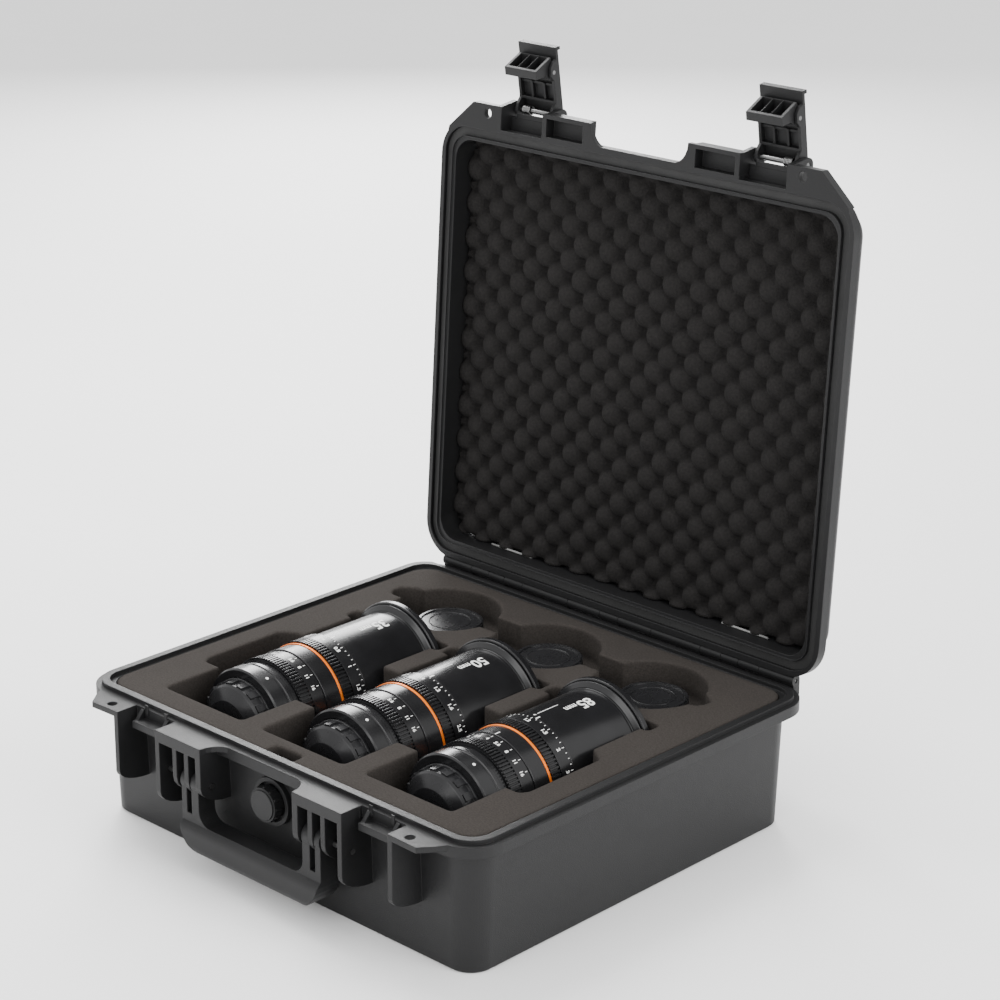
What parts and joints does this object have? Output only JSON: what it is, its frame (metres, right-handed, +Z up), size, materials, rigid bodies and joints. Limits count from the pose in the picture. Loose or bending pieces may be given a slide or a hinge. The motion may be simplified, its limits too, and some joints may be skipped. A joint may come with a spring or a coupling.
{
  "type": "case with cinema lenses",
  "caption": "Open hard plastic case with foam, holding cinema lenses with geared focus and iris rings, rear caps and spare caps.",
  "frame": {"origin": "centre of the base's underside, on the ground", "axes": "+X to the right seen from the handle side, +Y towards the hinge, +Z up"},
  "size_m": [0.381, 0.4067, 0.5021],
  "materials": {
    "case_plastic": "fine moulded grain",
    "base_foam": "closed-cell foam, cut",
    "lid_foam": "open-cell foam, egg-crate",
    "seal_rubber": "smooth",
    "pin_steel": "drawn",
    "lens_black": "black anodised, satin",
    "lens_trim": "orange anodised",
    "lens_glass": "coated",
    "cap_plastic": "semi-gloss"
  },
  "bodies": {
    "case_base": {"base_shell": "case_plastic", "base_foam": "base_foam", "hinge_pin": "pin_steel", "valve_body": "case_plastic", "valve_nut": "case_plastic", "handle_pin_left": "pin_steel", "handle_pin_right": "pin_steel"},
    "case_lid": {"lid_shell": "case_plastic", "lid_gasket": "seal_rubber", "lid_foam": "lid_foam", "latch_pin_left": "pin_steel", "latch_pin_right": "pin_steel"},
    "handle": {"carry_handle": "case_plastic"},
    "knob": {"valve_knob": "case_plastic"},
    "latch_left": {"latch_lever_left": "case_plastic", "claw_pin_left": "pin_steel", "latch_spring_left": "pin_steel"},
    "claw_left": {"latch_claw_left": "case_plastic"},
    "latch_right": {"latch_lever_right": "case_plastic", "claw_pin_right": "pin_steel", "latch_spring_right": "pin_steel"},
    "claw_right": {"latch_claw_right": "case_plastic"},
    "lens_35": {"lens_body_35": "lens_black", "front_housing_35": "lens_black", "trim_ring_35": "lens_trim", "front_glass_35": "lens_glass", "rear_glass_35": "lens_glass"},
    "iris_35": {"iris_ring_35": "lens_black"},
    "focus_35": {"focus_ring_35": "lens_black"},
    "cap_35": {"rear_cap_35": "cap_plastic"},
    "spare_35": {"spare_cap_35": "cap_plastic"},
    "lens_50": {"lens_body_50": "lens_black", "front_housing_50": "lens_black", "trim_ring_50": "lens_trim", "front_glass_50": "lens_glass", "rear_glass_50": "lens_glass"},
    "iris_50": {"iris_ring_50": "lens_black"},
    "focus_50": {"focus_ring_50": "lens_black"},
    "cap_50": {"rear_cap_50": "cap_plastic"},
    "spare_50": {"spare_cap_50": "cap_plastic"},
    "lens_85": {"lens_body_85": "lens_black", "front_housing_85": "lens_black", "trim_ring_85": "lens_trim", "front_glass_85": "lens_glass", "rear_glass_85": "lens_glass"},
    "iris_85": {"iris_ring_85": "lens_black"},
    "focus_85": {"focus_ring_85": "lens_black"},
    "cap_85": {"rear_cap_85": "cap_plastic"},
    "spare_85": {"spare_cap_85": "cap_plastic"}
  },
  "joints": [
    {"name": "lid_hinge", "type": "hinge", "parent": "case_base", "child": "case_lid", "pos_m": [0, 0.1725, 0.099], "axis": [-1, 0, 0], "range_deg": [-93.5, 0]},
    {"name": "handle_hinge", "type": "hinge", "parent": "case_base", "child": "handle", "pos_m": [0, -0.1753, 0.065], "axis": [-1, 0, 0], "range_deg": [0, 100]},
    {"name": "valve_turn", "type": "hinge", "parent": "case_base", "child": "knob", "pos_m": [0, -0.165, 0.065], "axis": [0, -1, 0], "range_deg": [0, 180]},
    {"name": "latch_hinge_left", "type": "hinge", "parent": "case_lid", "child": "latch_left", "pos_m": [-0.1115, 0.20712, 0.45204], "axis": [-1, 0, 0], "range_deg": [-78, 0]},
    {"name": "claw_hinge_left", "type": "hinge", "parent": "latch_left", "child": "claw_left", "pos_m": [-0.1115, 0.20474, 0.48354], "axis": [-1, 0, 0], "range_deg": [0, 8]},
    {"name": "latch_hinge_right", "type": "hinge", "parent": "case_lid", "child": "latch_right", "pos_m": [0.1115, 0.20712, 0.45204], "axis": [-1, 0, 0], "range_deg": [-78, 0]},
    {"name": "claw_hinge_right", "type": "hinge", "parent": "latch_right", "child": "claw_right", "pos_m": [0.1115, 0.20474, 0.48354], "axis": [-1, 0, 0], "range_deg": [0, 8]},
    {"name": "lens_lift_35", "type": "slide", "parent": "case_base", "child": "lens_35", "axis": [0, 0, 1], "range_m": [0, 0.12]},
    {"name": "iris_turn_35", "type": "hinge", "parent": "lens_35", "child": "iris_35", "pos_m": [-0.0995, -0.066, 0.07], "axis": [0, -1, 0], "range_deg": [0, 90]},
    {"name": "focus_turn_35", "type": "hinge", "parent": "lens_35", "child": "focus_35", "pos_m": [-0.0995, -0.03, 0.07], "axis": [0, -1, 0], "range_deg": [-40, 230]},
    {"name": "cap_pull_35", "type": "slide", "parent": "lens_35", "child": "cap_35", "axis": [0, -1, 0], "range_m": [0, 0.02]},
    {"name": "spare_lift_35", "type": "slide", "parent": "case_base", "child": "spare_35", "axis": [0, 0, 1], "range_m": [0, 0.06]},
    {"name": "lens_lift_50", "type": "slide", "parent": "case_base", "child": "lens_50", "axis": [0, 0, 1], "range_m": [0, 0.12]},
    {"name": "iris_turn_50", "type": "hinge", "parent": "lens_50", "child": "iris_50", "pos_m": [0, -0.066, 0.07], "axis": [0, -1, 0], "range_deg": [0, 90]},
    {"name": "focus_turn_50", "type": "hinge", "parent": "lens_50", "child": "focus_50", "pos_m": [0, -0.03, 0.07], "axis": [0, -1, 0], "range_deg": [-40, 230]},
    {"name": "cap_pull_50", "type": "slide", "parent": "lens_50", "child": "cap_50", "axis": [0, -1, 0], "range_m": [0, 0.02]},
    {"name": "spare_lift_50", "type": "slide", "parent": "case_base", "child": "spare_50", "axis": [0, 0, 1], "range_m": [0, 0.06]},
    {"name": "lens_lift_85", "type": "slide", "parent": "case_base", "child": "lens_85", "axis": [0, 0, 1], "range_m": [0, 0.12]},
    {"name": "iris_turn_85", "type": "hinge", "parent": "lens_85", "child": "iris_85", "pos_m": [0.0995, -0.066, 0.07], "axis": [0, -1, 0], "range_deg": [0, 90]},
    {"name": "focus_turn_85", "type": "hinge", "parent": "lens_85", "child": "focus_85", "pos_m": [0.0995, -0.03, 0.07], "axis": [0, -1, 0], "range_deg": [-40, 230]},
    {"name": "cap_pull_85", "type": "slide", "parent": "lens_85", "child": "cap_85", "axis": [0, -1, 0], "range_m": [0, 0.02]},
    {"name": "spare_lift_85", "type": "slide", "parent": "case_base", "child": "spare_85", "axis": [0, 0, 1], "range_m": [0, 0.06]}
  ]
}
